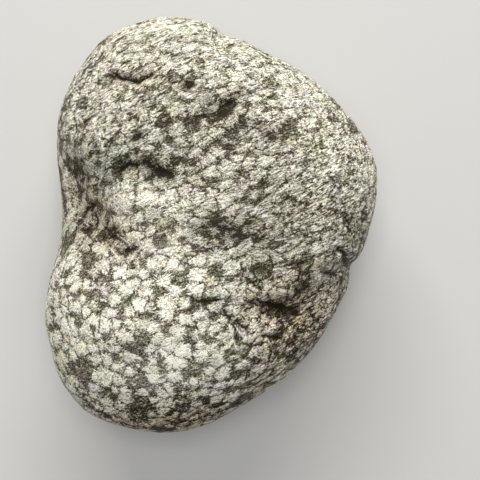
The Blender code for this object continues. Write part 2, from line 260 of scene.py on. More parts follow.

# Places of the broad face where the glass stayed dark, and a few that are painted shade in the pocket at the
# scoop's upper end and on the pit's wall: x, y; half lengths; turn in degrees where it has one.
DARK_PATCHES = [
    # left half of the lower lobe
    (-18.1, -6.6, 0.4, 0.6), (-14.9, -6.7, 0.7, 0.4, -20), (-18.2, -8.1, 1.0, 0.3, 10),
    (-16.9, -9.7, 0.3, 1.1), (-14.1, -8.8, 1.0, 0.6, 10), (-10.4, -9.9, 0.7, 0.6),
    (-9.3, -9.3, 1.0, 0.3, 10), (-12.9, -10.3, 0.6, 0.3, 30), (-9.3, -5.5, 0.5, 0.4),
    (-9.2, -6.7, 0.7, 0.3, 20), (-17.0, -11.6, 0.7, 0.5), (-16.4, -12.7, 0.6, 0.6),
    (-15.6, -14.1, 1.0, 0.4, -12), (-12.6, -14.1, 0.7, 0.5, 10), (-10.6, -11.1, 0.5, 0.7),
    (-7.7, -11.4, 1.0, 0.7), (-8.0, -14.3, 0.9, 1.1), (-9.1, -15.6, 1.0, 0.5),
    # right half of the lower lobe
    (-3.4, -6.3, 1.1, 0.5, 10), (-4.1, -7.3, 0.5, 0.5), (-6.4, -8.3, 1.1, 0.6), (-2.1, -9.9, 0.4, 1.0),
    (-2.8, -10.9, 1.1, 0.4), (1.0, -5.4, 0.6, 0.7), (2.5, -6.9, 1.0, 0.4), (0.5, -11.3, 0.7, 0.5),
    (-5.0, -13.3, 0.8, 0.5), (-2.1, -14.2, 0.6, 0.9, 20), (1.5, -15.0, 0.7, 0.4, 15),
    # lower part of the lower lobe
    (-18.3, -16.4, 0.5, 0.4), (-15.1, -17.5, 0.7, 0.4, -20), (-17.8, -19.1, 0.6, 0.5),
    (-16.1, -20.5, 0.6, 0.7), (-12.9, -21.0, 0.9, 0.4, -25), (-12.2, -22.1, 0.5, 0.7),
    (-11.7, -16.6, 0.6, 0.4), (-12.9, -19.1, 0.5, 0.4), (-8.4, -19.6, 1.1, 0.5),
    (-7.0, -21.4, 0.5, 0.8), (-6.1, -16.8, 0.3, 1.1), (-3.3, -20.6, 0.9, 0.6), (-2.6, -18.7, 1.0, 0.4),
    (0.2, -19.8, 0.9, 0.4), (3.2, -18.9, 1.0, 0.4), (2.2, -21.1, 0.7, 0.5), (2.6, -17.0, 1.2, 0.5, -10),
    (4.0, -18.9, 0.5, 0.4), (-8.6, -20.3, 0.7, 0.4), (-4.1, -20.8, 0.9, 0.5),
    # bottom rim
    (-9.4, -23.9, 0.9, 0.7), (-0.5, -22.4, 0.6, 0.9), (-3.5, -22.9, 1.1, 0.5, 10),
    (1.1, -23.0, 1.5, 0.4, 5), (-5.2, -24.0, 0.8, 0.6), (-4.0, -22.8, 0.6, 0.5),
    (-0.9, -22.2, 0.6, 0.6), (0.6, -23.2, 0.9, 0.5, 10), (-15.4, -23.5, 0.7, 0.5, -20),
    (4.6, -22.0, 1.0, 0.4, 20), (-13.2, -25.0, 0.8, 0.4, -10),
    # hollow above the scoop, and the pocket at its end, whose three patches are painted shade
    (-14.0, 8.7, 0.7, 0.6), (-12.8, 9.3, 0.6, 0.4), (-10.2, 7.9, 0.5, 0.6), (-13.6, 7.3, 0.7, 0.3),
    (-11.7, 5.9, 0.6, 0.9), (-14.8, 8.4, 0.5, 0.7), (-13.1, 4.7, 0.9, 0.5), (-17.4, 6.4, 0.4, 0.5),
    (-17.0, 7.6, 0.5, 0.4), (-16.4, 5.4, 0.6, 0.4),
    # upper left lobe and upper hollow
    (-11.9, 12.2, 0.6, 0.4), (-1.8, 12.3, 1.0, 1.0), (-5.2, 11.9, 1.0, 0.5), (-4.0, 12.6, 0.5, 0.5),
    (1.7, 13.3, 0.9, 0.9, -30), (3.9, 12.3, 0.6, 1.0), (3.2, 11.2, 0.6, 1.0),
    # glassy middle
    (2.2, 9.1, 1.0, 0.6), (-4.9, 10.0, 0.7, 0.7), (-3.8, 7.5, 1.1, 0.6), (-2.0, 6.9, 0.6, 0.6),
    (0.9, 4.9, 1.1, 0.5), (-0.9, 3.7, 0.7, 0.3),
    # right shoulder and the slope below it
    (7.8, 10.2, 1.0, 0.6), (6.8, 13.4, 0.6, 0.5), (11.5, 11.2, 0.9, 0.5, 15),
    (11.7, 13.4, 1.0, 0.4, 10), (13.4, 12.2, 1.2, 0.4), (11.7, 6.3, 0.7, 0.6), (12.9, 3.6, 0.5, 0.5),
    (8.9, 3.4, 0.7, 0.4, 10), (10.4, 2.5, 0.6, 0.3, 20), (15.4, 2.4, 0.5, 0.7, 20),
    (18.3, 3.6, 1.0, 0.6, 15), (18.9, 2.2, 0.5, 0.6), (9.8, 0.9, 0.9, 0.3, 20),
    (8.0, 0.8, 0.7, 0.3, 20), (11.0, -1.0, 1.0, 0.4), (12.1, -0.5, 0.6, 0.5),
    # middle dent and the trough at its right
    (0.3, -0.1, 0.9, 0.6, -20), (-0.4, -1.6, 0.9, 0.7), (1.6, -0.7, 0.6, 0.4), (3.4, -1.8, 1.2, 0.5),
    (3.3, -2.6, 0.7, 0.4, 40), (1.6, -2.6, 0.4, 0.4), (4.9, -0.2, 1.1, 0.5),
    # waist, and on towards the middle
    (-1.7, -3.1, 0.6, 0.5), (-5.9, -2.4, 1.0, 0.9, 15), (-3.3, -2.2, 0.7, 0.5), (-2.8, -4.0, 0.5, 0.4),
    (-5.0, 2.2, 0.5, 0.4), (-8.2, -0.3, 0.9, 0.3), (-8.9, 1.3, 0.7, 0.2),
    # scoop and its wall
    (-12.0, -1.8, 0.8, 0.3, -40), (-9.8, -3.9, 0.5, 0.4), (-17.1, 0.1, 0.9, 0.4),
    (-15.6, -1.2, 0.9, 0.4),
    # wedge, pit, valley and notch; the two patches turned by -15 degrees are painted shade on the pit's wall
    (6.2, -6.0, 1.5, 0.7), (11.2, -7.1, 0.9, 0.5), (11.5, -7.7, 1.1, 0.9), (10.6, -8.6, 0.7, 0.8),
    (15.5, -4.2, 1.0, 0.7), (8.9, -13.3, 0.6, 1.5), (10.4, -11.4, 1.2, 0.8, -15),
    (8.3, -10.4, 1.8, 0.6, -15),
    # low right slope
    (8.7, -15.1, 1.0, 0.6, 30), (10.4, -14.3, 0.7, 0.5, 30), (6.2, -15.0, 0.7, 0.5),
    (6.0, -17.2, 1.2, 0.4, 15), (9.8, -16.2, 0.9, 0.4, 20), (11.4, -13.9, 1.4, 0.5, 30),
    (9.8, -15.0, 1.0, 0.5, 20), (7.8, -19.0, 1.2, 0.4, 30), (5.7, -20.2, 1.2, 0.4, 25),
    (12.9, -12.4, 0.9, 0.4, 30),
]
PATCH_EDGE = (1.5, 0.3)  # in half lengths: where a patch begins and where it is fully dark
SHRUNK_PATCHES = 0.6  # how much smaller and how much fainter patches are under full streaks
FAINT_PATCHES = 0.7

# Snowflakes that stand out on the broad face: x, y; radius. The tones are brightness and warmth.
TONES = {"white": (0.95, 0.05), "cream": (0.60, 0.30), "tan": (0.15, 1.0)}
SNOWFLAKES = {
    "white": [
        (-5.7, -7.1, 0.9), (-1.3, -6.6, 1.0), (-0.9, -5.0, 0.9), (-4.6, -5.2, 0.9), (-16.5, -5.5, 0.9),
        (-10.4, -13.8, 1.1), (-9.5, -12.3, 0.7), (-5.6, -11.0, 0.9), (-5.0, -9.6, 0.9),
        (-8.9, -9.8, 1.0), (-4.9, -14.9, 1.2), (-4.3, -17.2, 1.0), (-1.5, 8.4, 1.1), (-3.7, 6.2, 0.7),
        (-1.2, 6.6, 0.5), (-10.7, -6.1, 0.9), (-7.9, -6.1, 0.7), (-18.7, -7.6, 0.6), (-0.8, -12.8, 0.8),
        (0.6, -10.2, 0.9), (-7.1, -12.8, 0.7), (4.3, -3.1, 1.0), (-7.5, -18.2, 0.9), (-7.1, -16.9, 0.6),
        (-2.8, -12.0, 1.1), (-3.3, -15.5, 1.0), (-7.7, 8.7, 1.0), (2.5, -20.0, 0.7), (5.5, -16.1, 0.7),
        (-9.3, -4.2, 0.6), (-14.1, -3.2, 0.6), (10.0, 13.3, 0.7), (-1.9, 0.0, 0.9), (7.7, -12.8, 0.7),
        (4.3, -7.7, 0.7), (6.8, -7.6, 0.7), (-12.1, 15.0, 0.6), (-10.4, 17.1, 0.6), (-9.4, 16.6, 0.5),
    ],
    "cream": [
        (-1.6, -8.2, 1.0), (-2.9, -9.7, 0.9), (-4.1, -8.1, 0.7), (2.6, -5.5, 1.0), (1.6, -8.5, 0.8),
        (-7.7, -10.1, 0.7), (1.6, -12.0, 0.7), (1.8, -13.9, 0.7), (-0.8, -14.9, 0.7), (2.8, -10.5, 0.9),
        (-11.3, -7.5, 0.7), (-11.9, -9.3, 0.9), (-15.3, -7.7, 0.8), (-15.7, -9.8, 0.7),
        (-15.4, -11.1, 0.8), (-12.2, -11.0, 0.9), (-11.4, -12.7, 0.7), (-14.0, -14.0, 0.7),
        (-9.0, -7.7, 0.8), (-12.9, -5.4, 0.9), (-14.5, -12.4, 1.0), (-14.6, -15.7, 1.0),
        (-11.9, -15.7, 0.7), (-10.2, -16.9, 1.0), (-10.0, -18.6, 0.7), (-11.6, -19.6, 1.0),
        (-14.4, -20.8, 0.7), (-13.4, -22.7, 0.9), (-10.6, -21.3, 0.7), (-8.5, -21.3, 0.7),
        (-5.1, -20.8, 0.8), (-4.4, -19.2, 0.9), (-2.2, -21.7, 0.9), (-1.9, -19.9, 0.7),
        (0.7, -21.2, 0.8), (-5.8, -22.7, 0.9), (-0.8, -16.1, 0.9), (-4.2, 11.3, 0.9), (-5.5, 8.4, 1.0),
        (-5.8, 7.2, 0.9), (0.9, 10.7, 0.9), (-0.8, 10.7, 0.7), (-4.3, 13.5, 0.9), (-6.8, 12.9, 0.7),
        (0.3, 5.8, 0.9), (2.1, 6.3, 1.0), (1.1, 8.2, 0.9), (5.5, 13.3, 0.9), (5.7, 14.9, 0.8),
        (9.3, 14.7, 0.8), (11.8, 14.7, 0.8), (5.4, 10.8, 0.8), (5.5, 5.6, 0.9), (2.1, 2.9, 1.0),
        (2.9, 1.5, 0.9), (5.7, 1.3, 0.9), (0.3, 3.5, 0.7), (-1.4, 3.1, 0.9), (6.8, -2.5, 0.8),
        (-0.1, 2.1, 0.8), (-4.9, 1.1, 0.8), (-10.2, 14.2, 1.0), (10.2, -2.2, 0.9), (8.6, -5.9, 0.9),
        (-6.9, -1.3, 0.6),
    ],
    "tan": [
        (-18.1, -10.2, 0.7), (-18.4, -14.7, 0.7), (-13.1, 2.3, 0.7), (0.5, -7.1, 0.6), (-9.5, 5.7, 1.0),
        (-1.6, 4.6, 0.9), (10.0, 9.8, 0.6), (-5.3, -0.3, 0.7), (13.1, -5.2, 1.0), (4.9, -8.8, 0.7),
        (9.0, -7.5, 0.7), (-15.7, -22.4, 0.7), (0.5, -2.5, 0.6), (7.5, -11.4, 0.7),
    ],
}
NAMED_FULLNESS = 1.18

# Places where more glass shows between the snowflakes: x, y; half lengths; turn in degrees; how much less
# full the snowflakes are, or fuller where under 0.
GLASSY_PLACES = [
    (-2.0, 8.0, 8.0, 4.5, 15.0, 0.20),  # glassy middle
    (3.0, -1.0, 6.0, 3.0, 10.0, 0.18),  # middle dent and its trough
    (6.0, 11.0, 5.0, 3.0, 0.0, 0.12),  # right of the upper hollow
    (11.0, -15.0, 6.0, 3.5, 40.0, 0.15),  # low right slope
    (-4.0, -24.0, 10.0, 3.0, 5.0, 0.15),  # bottom rim
    (-7.0, 0.0, 5.0, 3.0, 0.0, 0.10),  # waist
    (-11.6, 10.1, 1.2, 1.2, 0.0, -1.2),  # broad pale place left of the left lobe's pit
]

# Painted light and shade over the broad face, with a few slow changes of the glass's own tone, one row for
# each form that looks paler or darker than its lighting alone would make it: x, y; half lengths; turn in
# degrees; how much paler. Hollows, creases, dents, the pit and the bottom rim get painted shade, and the lit
# ridge of the waist, the block above the slit, the right shoulder, the top rim and the lower part of the
# lower lobe get painted light; the glassy middle and the lower lobe's left side are the glass's own tone.
# They act twice: they multiply the colour, and they move the mix between glass and snowflake.
PAINTED_LIGHT_AND_TONES = [
    (-6.0, -12.0, 9.0, 7.0, 20.0, 0.2),  # lower lobe
    (-4.5, -19.0, 6.5, 3.0, 5.0, 0.5),  # its lower part
    (-17.5, -10.5, 3.0, 4.5, 0.0, 0.3),  # its left side
    (0.0, -9.5, 1.8, 1.2, 0.0, -0.6),  # round its black streak
    (3.2, -12.5, 1.8, 1.6, 0.0, -0.3),  # round the gashes
    (7.7, -12.8, 0.8, 0.7, 0.0, 0.6),  # block above the slit
    (-3.5, -25.0, 9.0, 2.0, 8.0, -0.8),  # bottom rim
    (-7.7, 2.2, 3.4, 1.3, -20.0, 0.2),  # lit ridge of the waist
    (-16.5, -1.0, 3.0, 4.0, 0.0, -0.5),  # bed of the scoop
    (-12.7, -1.7, 4.2, 1.6, -50.0, -0.6),  # foot of its wall
    (-16.8, 6.4, 1.4, 1.8, 0.0, -0.9),  # pocket at the scoop's upper end
    (-8.8, 6.8, 5.5, 2.2, -8.0, -0.7),  # waist crease
    (-6.6, 6.0, 2.4, 1.0, -30.0, -0.7),  # its black right end
    (-12.8, 6.0, 1.6, 1.9, 0.0, -0.5),  # dusky field at its left end
    (-8.0, 13.4, 9.0, 5.0, 20.0, -0.3),  # upper left lobe
    (-3.0, 16.8, 2.2, 1.6, 0.0, -0.6),  # round the round pit
    (0.8, 13.6, 3.6, 1.5, 25.0, -0.4),  # upper hollow
    (3.3, 11.8, 3.4, 1.4, 85.0, -0.6),  # its branch
    (-1.5, 9.0, 6.0, 4.5, 20.0, -0.3),  # glassy middle
    (7.0, 10.3, 3.2, 2.4, 0.0, -0.6),  # dark field at the branch's right
    (1.2, -1.2, 4.4, 2.0, 0.0, -1.2),  # middle dent
    (8.5, -3.0, 6.0, 2.4, 14.0, -0.5),  # trough at its right
    (8.0, 2.5, 8.0, 4.0, 10.0, -0.4),  # slope below the right shoulder
    (13.5, 8.0, 4.0, 6.0, 10.0, 0.2),  # right shoulder
    (20.0, 6.0, 2.5, 6.0, 10.0, 0.4),  # its outer edge
    (18.0, -0.5, 2.5, 3.5, 10.0, -0.4),  # right rim above the notch
    (7.0, -6.2, 3.4, 1.5, 0.0, -0.6),  # dark wedge above the pit
    (13.4, -8.3, 4.6, 2.0, 32.0, -0.3),  # valley from the notch to the pit
    (8.7, -10.6, 3.8, 1.7, -8.0, -1.0),  # pit
    (11.4, -8.2, 1.7, 2.0, 0.0, -0.6),  # dark field at the right of its tongue
    (11.0, -15.5, 5.0, 2.4, 35.0, -0.4),  # low right slope
    (11.6, -13.9, 2.4, 1.0, 35.0, -0.4),  # its dark streaks
    (-4.0, 25.0, 8.0, 1.6, 0.0, 0.3),  # top rim
    (9.0, 17.5, 6.0, 3.5, -20.0, 0.2),  # upper right slope
]
PAINTED_LIGHT_AND_TONE_TINT = 0.55  # what a slow tone of 1 does to the colour, in doublings
PAINTED_LIGHT_AND_TONE_SHIFT = 0.38  # how far the mix moves as the colour's factor changes

# Painted warm light bounced into the shaded scoop, pit, low right slope, bottom rim and brow, which browns
# and darkens the glass there, written in the same way; where under 0 the glass is bluer in its own colour.
WARM_BOUNCE_AND_BLUE_PLACES = [
    (-16.5, 3.0, 4.0, 5.5, 10.0, 0.5),  # scoop
    (-11.5, -2.5, 3.0, 2.0, -50.0, 0.5),  # foot of its wall
    (8.8, -10.5, 4.0, 3.0, 10.0, 0.9),  # pit
    (12.0, -14.0, 8.0, 4.0, 40.0, 0.5),  # low right slope
    (-5.0, -26.0, 14.0, 3.0, 3.0, 0.9),  # bottom rim
    (-9.0, 17.5, 4.0, 2.0, 0.0, 0.4),  # brow
    (-12.4, 6.8, 2.6, 2.4, 0.0, -0.5),  # dusky field at the waist crease's left end
]
BOUNCE_TINT = (0.0, -0.20, -0.35)  # of red, green and blue, in doublings

# Places where pale and dark stand further apart, written in the same way, and less where under 0.
CONTRASTS = [
    (-5.0, -25.0, 14.0, 3.5, 3.0, 0.70),  # bottom rim
    (12.0, -14.0, 7.0, 4.5, 40.0, 0.45),  # low right slope
    (8.5, -10.4, 3.6, 2.4, 0.0, 0.60),  # pit
    (-4.0, 24.5, 9.0, 4.0, 0.0, -0.28),  # top rim
    (12.0, 15.0, 8.0, 4.0, -45.0, -0.15),  # upper right slope
    (-8.0, -1.0, 8.0, 4.5, -30.0, -0.12),  # waist
]
MIDDLE_TONE = 0.55  # the tone that stays as it is

# The scatter of the other snowflakes: how many are tried at once and how often; how their radii, fullness,
# brightness and warmth spread, the warmth by its mean and deviation.
FLAKE_BATCH = 1500
FLAKE_ROUNDS = 30
RADIUS_SPREAD = (0.70, 1.30)
FULLNESS_SPREAD = (0.90, 1.20)
EMPTY_FULLNESS = (0.20, 0.50)
BRIGHTNESS_SPREAD = (0.25, 0.9)
WARMTH_SPREAD = (0.18, 0.20)
PATCH_THINNING = 0.3  # how much less full they are in a dark patch
NEAREST_CHUNK = 4000  # points whose nearest snowflakes are looked up at once

# Furrows along the flow: height; its strength where there are no streaks; size along the flow, across it and
# upwards; seed.
FURROWS = [
    (0.06, 0.25, (1.6, 0.5, 0.8), 11),
    (0.05, 0.20, (1.0, 0.32, 0.6), 12),
]
# Lumps: height; size; seed.
LUMPS = [
    (0.10, 4.5, 13),
    (0.06, 2.1, 14),
    (0.025, 0.7, 15),
]
# How places are pushed about, so that rims come out crooked: how far; size; seeds for x, y and z.
WARPS = [
    (0.30, 0.9, (21, 22, 23)),
    (0.40, 2.4, (24, 25, 26)),
]
GRAIN_LATTICE = 48  # steps before a grain repeats
DOME_REACH = 1.2  # in radii: how far a snowflake's dome falls away
CRACK_HALF_WIDTH = 0.16  # in radii
STREAKED_FLATTENING = 0.4  # how much lower the domes and shallower the cracks are under streaks
LINE_REACH = 3.0  # in half widths of a line: as far as the skin knows of it
LINE_CORE = 1.8  # in half widths: where it begins to fade
LINE_END = 0.35  # the length over which a line thins out past its end

# Noises round each snowflake's middle: weight of the direction from the middle; weight of the way from it,
# in radii; detail; roughness.
FLAKE_NOISES = {
    "lobes": (0.0, 1.5, 3.0, 0.6),
    "petals": (1.9, 0.0, 1.0, 0.5),
    "needles": (5.5, 0.7, 1.0, 0.5),
}
FLAKE_SHIFT = 40.0  # sets the noises of two snowflakes apart, times their traits
# Noises along the flow: scales along it, across it and upwards; detail; roughness.
FLOW_NOISES = {
    "specks": ((2.2, 4.4, 3.4), 2.0, 0.8),
    "streaks": ((1.1, 4.6, 2.6), 1.0, 0.7),
    "bands": ((0.45, 1.9, 1.1), 2.0, 0.6),
    "threads": ((0.75, 2.0, 1.4), 1.0, 0.7),
}
# Noises alike in every direction: shift in millimetres, which sets them apart; scale; detail; roughness.
EVEN_NOISES = {
    "dust": ((0.0, 0.0, 0.0), 6.0, 1.0, 0.9),
    "clouds": ((0.0, 0.0, 0.0), 0.45, 2.0, 0.5),
    "blots": ((0.0, 0.0, 0.0), 1.2, 1.0, 0.5),
    "blues": ((31.0, 17.0, 5.0), 0.35, 2.0, 0.6),
    "greens": ((7.0, 43.0, 19.0), 0.40, 2.0, 0.6),
    "glints": ((3.0, 9.0, 27.0), 6.5, 1.0, 0.5),
}
# What is blended from those noises, with the weight of each.
BLENDS = {
    "rim": {"lobes": 0.60, "petals": 0.45, "needles": 0.75},
    "joint": {"needles": 0.55, "lobes": 0.40, "blots": 0.60},
    "patch": {"specks": 1.6, "bands": 1.6},
    "tone": {"specks": 0.70, "dust": 0.68, "lobes": 0.12, "clouds": 0.10},
    "line edge": {"specks": 1.3, "dust": 0.8},
}

# Where the smooth steps of the look begin and end.
PATCH_STEP = (0.25, 1.0)
FLAKE_STEP = (-0.15, 0.30)
MIDDLE_STEP = (0.0, 0.9)
GLINT_STEP = (0.05, 0.45)
THREAD_STEP = (0.0, 0.08)
LINE_STEP = (0.1, 0.9)
STAIN_STEP = (0.35, 1.0)
# Values where the snowflakes lie clear, and where streaks cover them.
JOINT_OPENING = (-0.04, 0.10)
BASE_TONE = (0.27, 0.19)
STREAK_TONE = (0.35, 0.90)
THREAD_SHADE = (0.12, 0.28)
# What a clear snowflake adds to the tone: all of it, its brightness, its needled fringe, its middle.
CLEAR_TONES = (0.34, 0.14, 0.22, 0.20)
# Where streaks cover it: itself, bands of the flow, and a shift outside and inside dark patches.
COVERED_TONES = (0.40, 0.75)
COVERED_SHIFT = (0.07, -0.12)
JOINT_RISE = 1.9  # how soon a snowflake's tone rises away from the joint with its neighbour
PATCH_LEVEL = 1.2  # the strength of a dark patch before its noises
PATCH_BITE = 0.64  # how far a dark patch eats into a snowflake
PATCH_SHADE = 0.06
GLINT_TONES = (0.12, 0.18)  # everywhere, and more in dark patches
# Painted shade along the creases:
LINE_SHADES = (0.40, 0.60)  # of a crease's soft sides, and of its crisp line
DEEPEST_SHADE = 0.83
RIDGE_LIGHT_AND_SHADE = 0.7
PLAIN_FACTOR = 3 ** 0.5  # the length of a colour's factor that changes nothing
TONE_LIMITS = [("SMOOTH_MAX", 0.0, 0.16), ("SMOOTH_MIN", 1.06, 0.25)]  # limit, and softness of its bend
EYE_GAMMA = 2.2
STAIN_SHARE = 0.55
HUE_REACH = 1.15  # the tone from which on nothing changes hue
HUES = (0.20, 0.36)  # of green and of blue
GLOSS = 0.12  # level of the specular light
BUMP_SHARES = (0.3, 0.7)  # of the bands, and of creases and ridges
MIX_SOCKETS = {"FLOAT": (2, 3, 0), "VECTOR": (4, 5, 1), "RGBA": (6, 7, 2)}  # of a Mix node: two in, one out

# Lights of the studio, in metres: place; width and height; share of the key's power; colour.
LIGHTS = {
    "key": ((-0.02, 0.52, 0.37), (0.60, 0.15), 1.0, (1.0, 0.985, 0.95)),
    "top": ((0.0, 0.05, 0.60), (0.30, 0.30), 0.42, (1.0, 1.0, 1.0)),
}
# The camera's place over the plan, and how near to it things come into view.
CAMERA_OVER = (3.67 * MM, -2.25 * MM)
CLIP_START = 0.01
FLOOR_SPAN = 25  # half the floor's side, in lengths of the stone
FLOOR_GAP = 0.02 * MM
FLOOR_ROUGHNESS = 0.9


def closed_curve(places, steps):
    """Points of a Catmull-Rom curve that runs through every place and closes on itself."""
    p1 = np.array(places)
    p0, p2, p3 = (np.roll(p1, shift, axis=0) for shift in (1, -1, -2))
    t = (np.arange(steps) / steps)[None, :, None]
    a, b, c, d = (p[:, None, :] for p in (p0, p1, p2, p3))
    curve = b + 0.5 * t * (c - a + t * (2 * a - 5 * b + 4 * c - d + t * (3 * (b - c) + d - a)))
    return curve.reshape(-1, 2)


def outline_reach(angle):
    """How far the outline lies from the middle of the plan, in each direction."""
    curve = closed_curve(OUTLINE, STEPS_BETWEEN_PLACES)
    angles = np.arctan2(curve[:, 1], curve[:, 0])
    order = np.argsort(angles)
    return np.interp(angle, angles[order], np.hypot(*curve.T)[order], period=2 * np.pi)


def oval_reach(angle):
    """The same for the plain oval that the top and the bottom ease to."""
    half_width, half_length = OVAL
    return 1 / np.hypot(np.cos(angle) / half_width, np.sin(angle) / half_length)


def body(directions, form):
    """Each direction's place on the plain body: its plan shrinks by the cosine of the latitude while it
    rises or drops by the sine, each raised to the shoulder's power, above or below a swaying girth."""
    x, y, z = directions.T
    level = np.hypot(x, y)
    angle = np.arctan2(y, x)
    eased = ROUNDING * np.abs(z) ** ROUNDING_POWER
    reach = (1 - eased) * outline_reach(angle) + eased * oval_reach(angle)
    out = reach * level ** SHOULDER
    half = np.where(z > 0, form.crown_rise, form.belly_drop) / MM
    rise = half * np.sign(z) * np.abs(z) ** SHOULDER
    sway = sum(height * np.cos(count * angle - np.radians(crest)) for count, crest, height in GIRTH_SWAYS)
    height = form.girth_height / MM + rise + sway * level ** SWAY_POWER
    return np.column_stack([out * np.cos(angle), out * np.sin(angle), height])


def oval_bell(points, x, y, along, across, turn=0.0):
    """A bell over an oval of the plan: exp(-(u² + v²)), with u and v the distances along and across the
    oval's turned axes, in its half lengths."""
    turn = np.radians(turn)
    dx, dy = points[:, 0] - x, points[:, 1] - y
    u = (dx * np.cos(turn) + dy * np.sin(turn)) / along
    v = (dy * np.cos(turn) - dx * np.sin(turn)) / across
    return np.exp(-(u * u + v * v))


def forms(points, table):
    """The sum of bell-shaped domes and hollows, each an oval in plan."""
    return sum(rise * oval_bell(points, *oval) for *oval, rise in table)


def straight_runs(points, places):
    """For each straight run between two places: how far each point of the plan lies to the run's side, less
    than 0 on one side, and how far past the nearer of its ends."""
    for start, end in zip(places[:-1], places[1:]):
        run = np.subtract(end, start)
        length = np.hypot(*run)
        offset = points[:, :2] - start
        along = offset @ run / length
        side = (offset[:, 0] * run[1] - offset[:, 1] * run[0]) / length
        yield side, np.maximum(np.maximum(-along, along - length), 0)


def run_bell(points, places, half_width):
    """A bell along a run of places: exp(-(distance / half width)²)."""
    away = np.min([np.hypot(side, beyond) for side, beyond in straight_runs(points, places)], axis=0)
    return np.exp(-((away / half_width) ** 2))


def line_values(points, table):
    """For each point the line of a table that it is nearest to, counted in the line's half widths: how far
    across the line it lies, less than 0 on one side, and how much painted shade the line lays on, below 0
    where a ridge has a painted highlight, which fades past its ends."""
    nearest = np.full(len(points), LINE_REACH)
    across = np.full(len(points), LINE_REACH)
    darkness = np.zeros(len(points))
    for places, half_width, _, dark in table:
        for side, beyond in straight_runs(points, places):
            away = np.hypot(side, beyond) / half_width
            closer = away < nearest
            nearest = np.where(closer, away, nearest)
            across = np.where(closer, np.copysign(away, side), across)
            darkness = np.where(closer, dark * fade(-beyond, -LINE_END, 0.0), darkness)
    return across, darkness * fade(-nearest, -LINE_REACH, -LINE_CORE)


def waves(points):
    """The sum of slow plane waves, each with its own direction."""
    return sum(
        height * np.sin(points @ (2 * np.pi / np.array(lengths)) + phase) for lengths, phase, height in WAVES
    )


def fade(value, low, high):
    """0 below low, 1 above high and a smooth step between."""
    t = np.clip((value - low) / (high - low), 0, 1)
    return t * t * (3 - 2 * t)


def slow_relief(directions, points):
    """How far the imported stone's domes, hollows, notches and waves raise each point of the body."""
    up = directions[:, 2]
    crown, belly, rim = fade(up, *FACE_FADE), fade(-up, *FACE_FADE), fade(up, *RIM_FADE)
    swell = WAVES_AT_GIRTH + (1 - WAVES_AT_GIRTH) * np.maximum(crown, belly)
    faces = crown * forms(points, CROWN_FORMS) + belly * forms(points, BELLY_FORMS)
    notches = sum(depth * run_bell(points, places, half_width) for places, half_width, depth in RIM_GROOVES)
    return faces - rim * notches + swell * waves(points)


def worn_flat(height, edge):
    """Heights with the underside worn off at 0: straight above, level below, and a curve between."""
    eased = (height + edge) ** 2 / (4 * edge)
    return np.where(height > edge, height, np.where(height < -edge, 0.0, eased))


def box_net():
    """The skin of a box as a net of squares: each corner's direction, the squares, and their flat map.

    A corner has three parameters a, b, c from -1 to 1, and with the half angles W, L and H its direction is
    (tan(a W), tan(b L), tan(c H) / tan H). Each of the six faces holds one parameter at -1 or 1 and runs the
    other two in even steps. Corners that two faces share are one corner. The directions are then pushed
    upwards."""
    squares, flat = [], []
    for (axis, side), (x, y, width, height) in MAP_PATCHES.items():
        across, up = [k for k in range(3) if k != axis]
        steps = np.zeros((CELLS[across] + 1, CELLS[up] + 1, 3), int)
        steps[..., across] = np.arange(CELLS[across] + 1)[:, None]
        steps[..., up] = np.arange(CELLS[up] + 1)[None, :]
        steps[..., axis] = side * CELLS[axis]
        corner = np.ravel_multi_index(steps.reshape(-1, 3).T, np.add(CELLS, 1)).reshape(steps.shape[:2])
        span = np.array([width, height]) - 2 * MAP_MARGIN
        place = steps[..., [across, up]] / np.array([CELLS[across], CELLS[up]]) * span + (x, y) + MAP_MARGIN
        turn = 1 if (side == 1) == (axis == 1) else -1
        for found, grid in ((squares, corner[..., None]), (flat, place)):
            ring = [grid[:-1, :-1], grid[1:, :-1], grid[1:, 1:], grid[:-1, 1:]]
            found.append(np.stack(ring[::-turn], axis=2).reshape(-1, 4, grid.shape[-1]))
    corners, squares = np.unique(np.concatenate(squares), return_inverse=True)
    steps = np.unravel_index(corners, np.add(CELLS, 1))
    a, b, c = (2 * step / cells - 1 for step, cells in zip(steps, CELLS))
    wide, long, high = np.radians(EDGE_ANGLES)
    even = np.column_stack([np.tan(a * wide), np.tan(b * long), np.tan(c * high) / np.tan(high)])
    return unit(unit(even) + (0, 0, CROWDING)), squares.reshape(-1, 4), np.concatenate(flat)


def unit(vectors):
    return vectors / np.maximum(np.linalg.norm(vectors, axis=-1, keepdims=True), NEXT_TO_NOTHING)


def square_normals(points, squares):
    """Each square's normal times twice its area: the cross product of its diagonals."""
    a, b, c, d = (points[squares[:, k]] for k in range(4))
    return np.cross(c - a, d - b)


def spread(values, squares, count):
    """The sum, at every corner, of a value of the squares round it."""
    return np.column_stack([
        sum(np.bincount(squares[:, k], column, count) for k in range(4))
        for column in np.atleast_2d(values.T)
    ])


def normals_of(points, squares):
    return unit(spread(square_normals(points, squares), squares, len(points)))


def grain(points, size, seed):
    """Smooth random numbers from -1 to 1 over space: the corners of a lattice hold random numbers, and a
    point takes the mean of the eight round it, weighed by smooth steps. size is the lattice's step."""
    lattice = np.random.default_rng(seed).uniform(-1, 1, (GRAIN_LATTICE,) * 3)
    scaled = points / size
    low = np.floor(scaled).astype(int)
    share = fade(scaled - low, 0, 1)
    total = np.zeros(len(points))
    for corner in itertools.product((0, 1), repeat=3):
        weight = np.prod(np.where(corner, share, 1 - share), axis=1)
        total += weight * lattice[tuple(((low + corner) % GRAIN_LATTICE).T)]
    return total


def flow_direction(points):
    """The flow's level direction at each point: its turn plus a share of each bend."""
    turn = np.radians(FLOW_TURN + forms(points, FLOW_BENDS))
    return np.column_stack([np.cos(turn), np.sin(turn), np.zeros(len(points))])


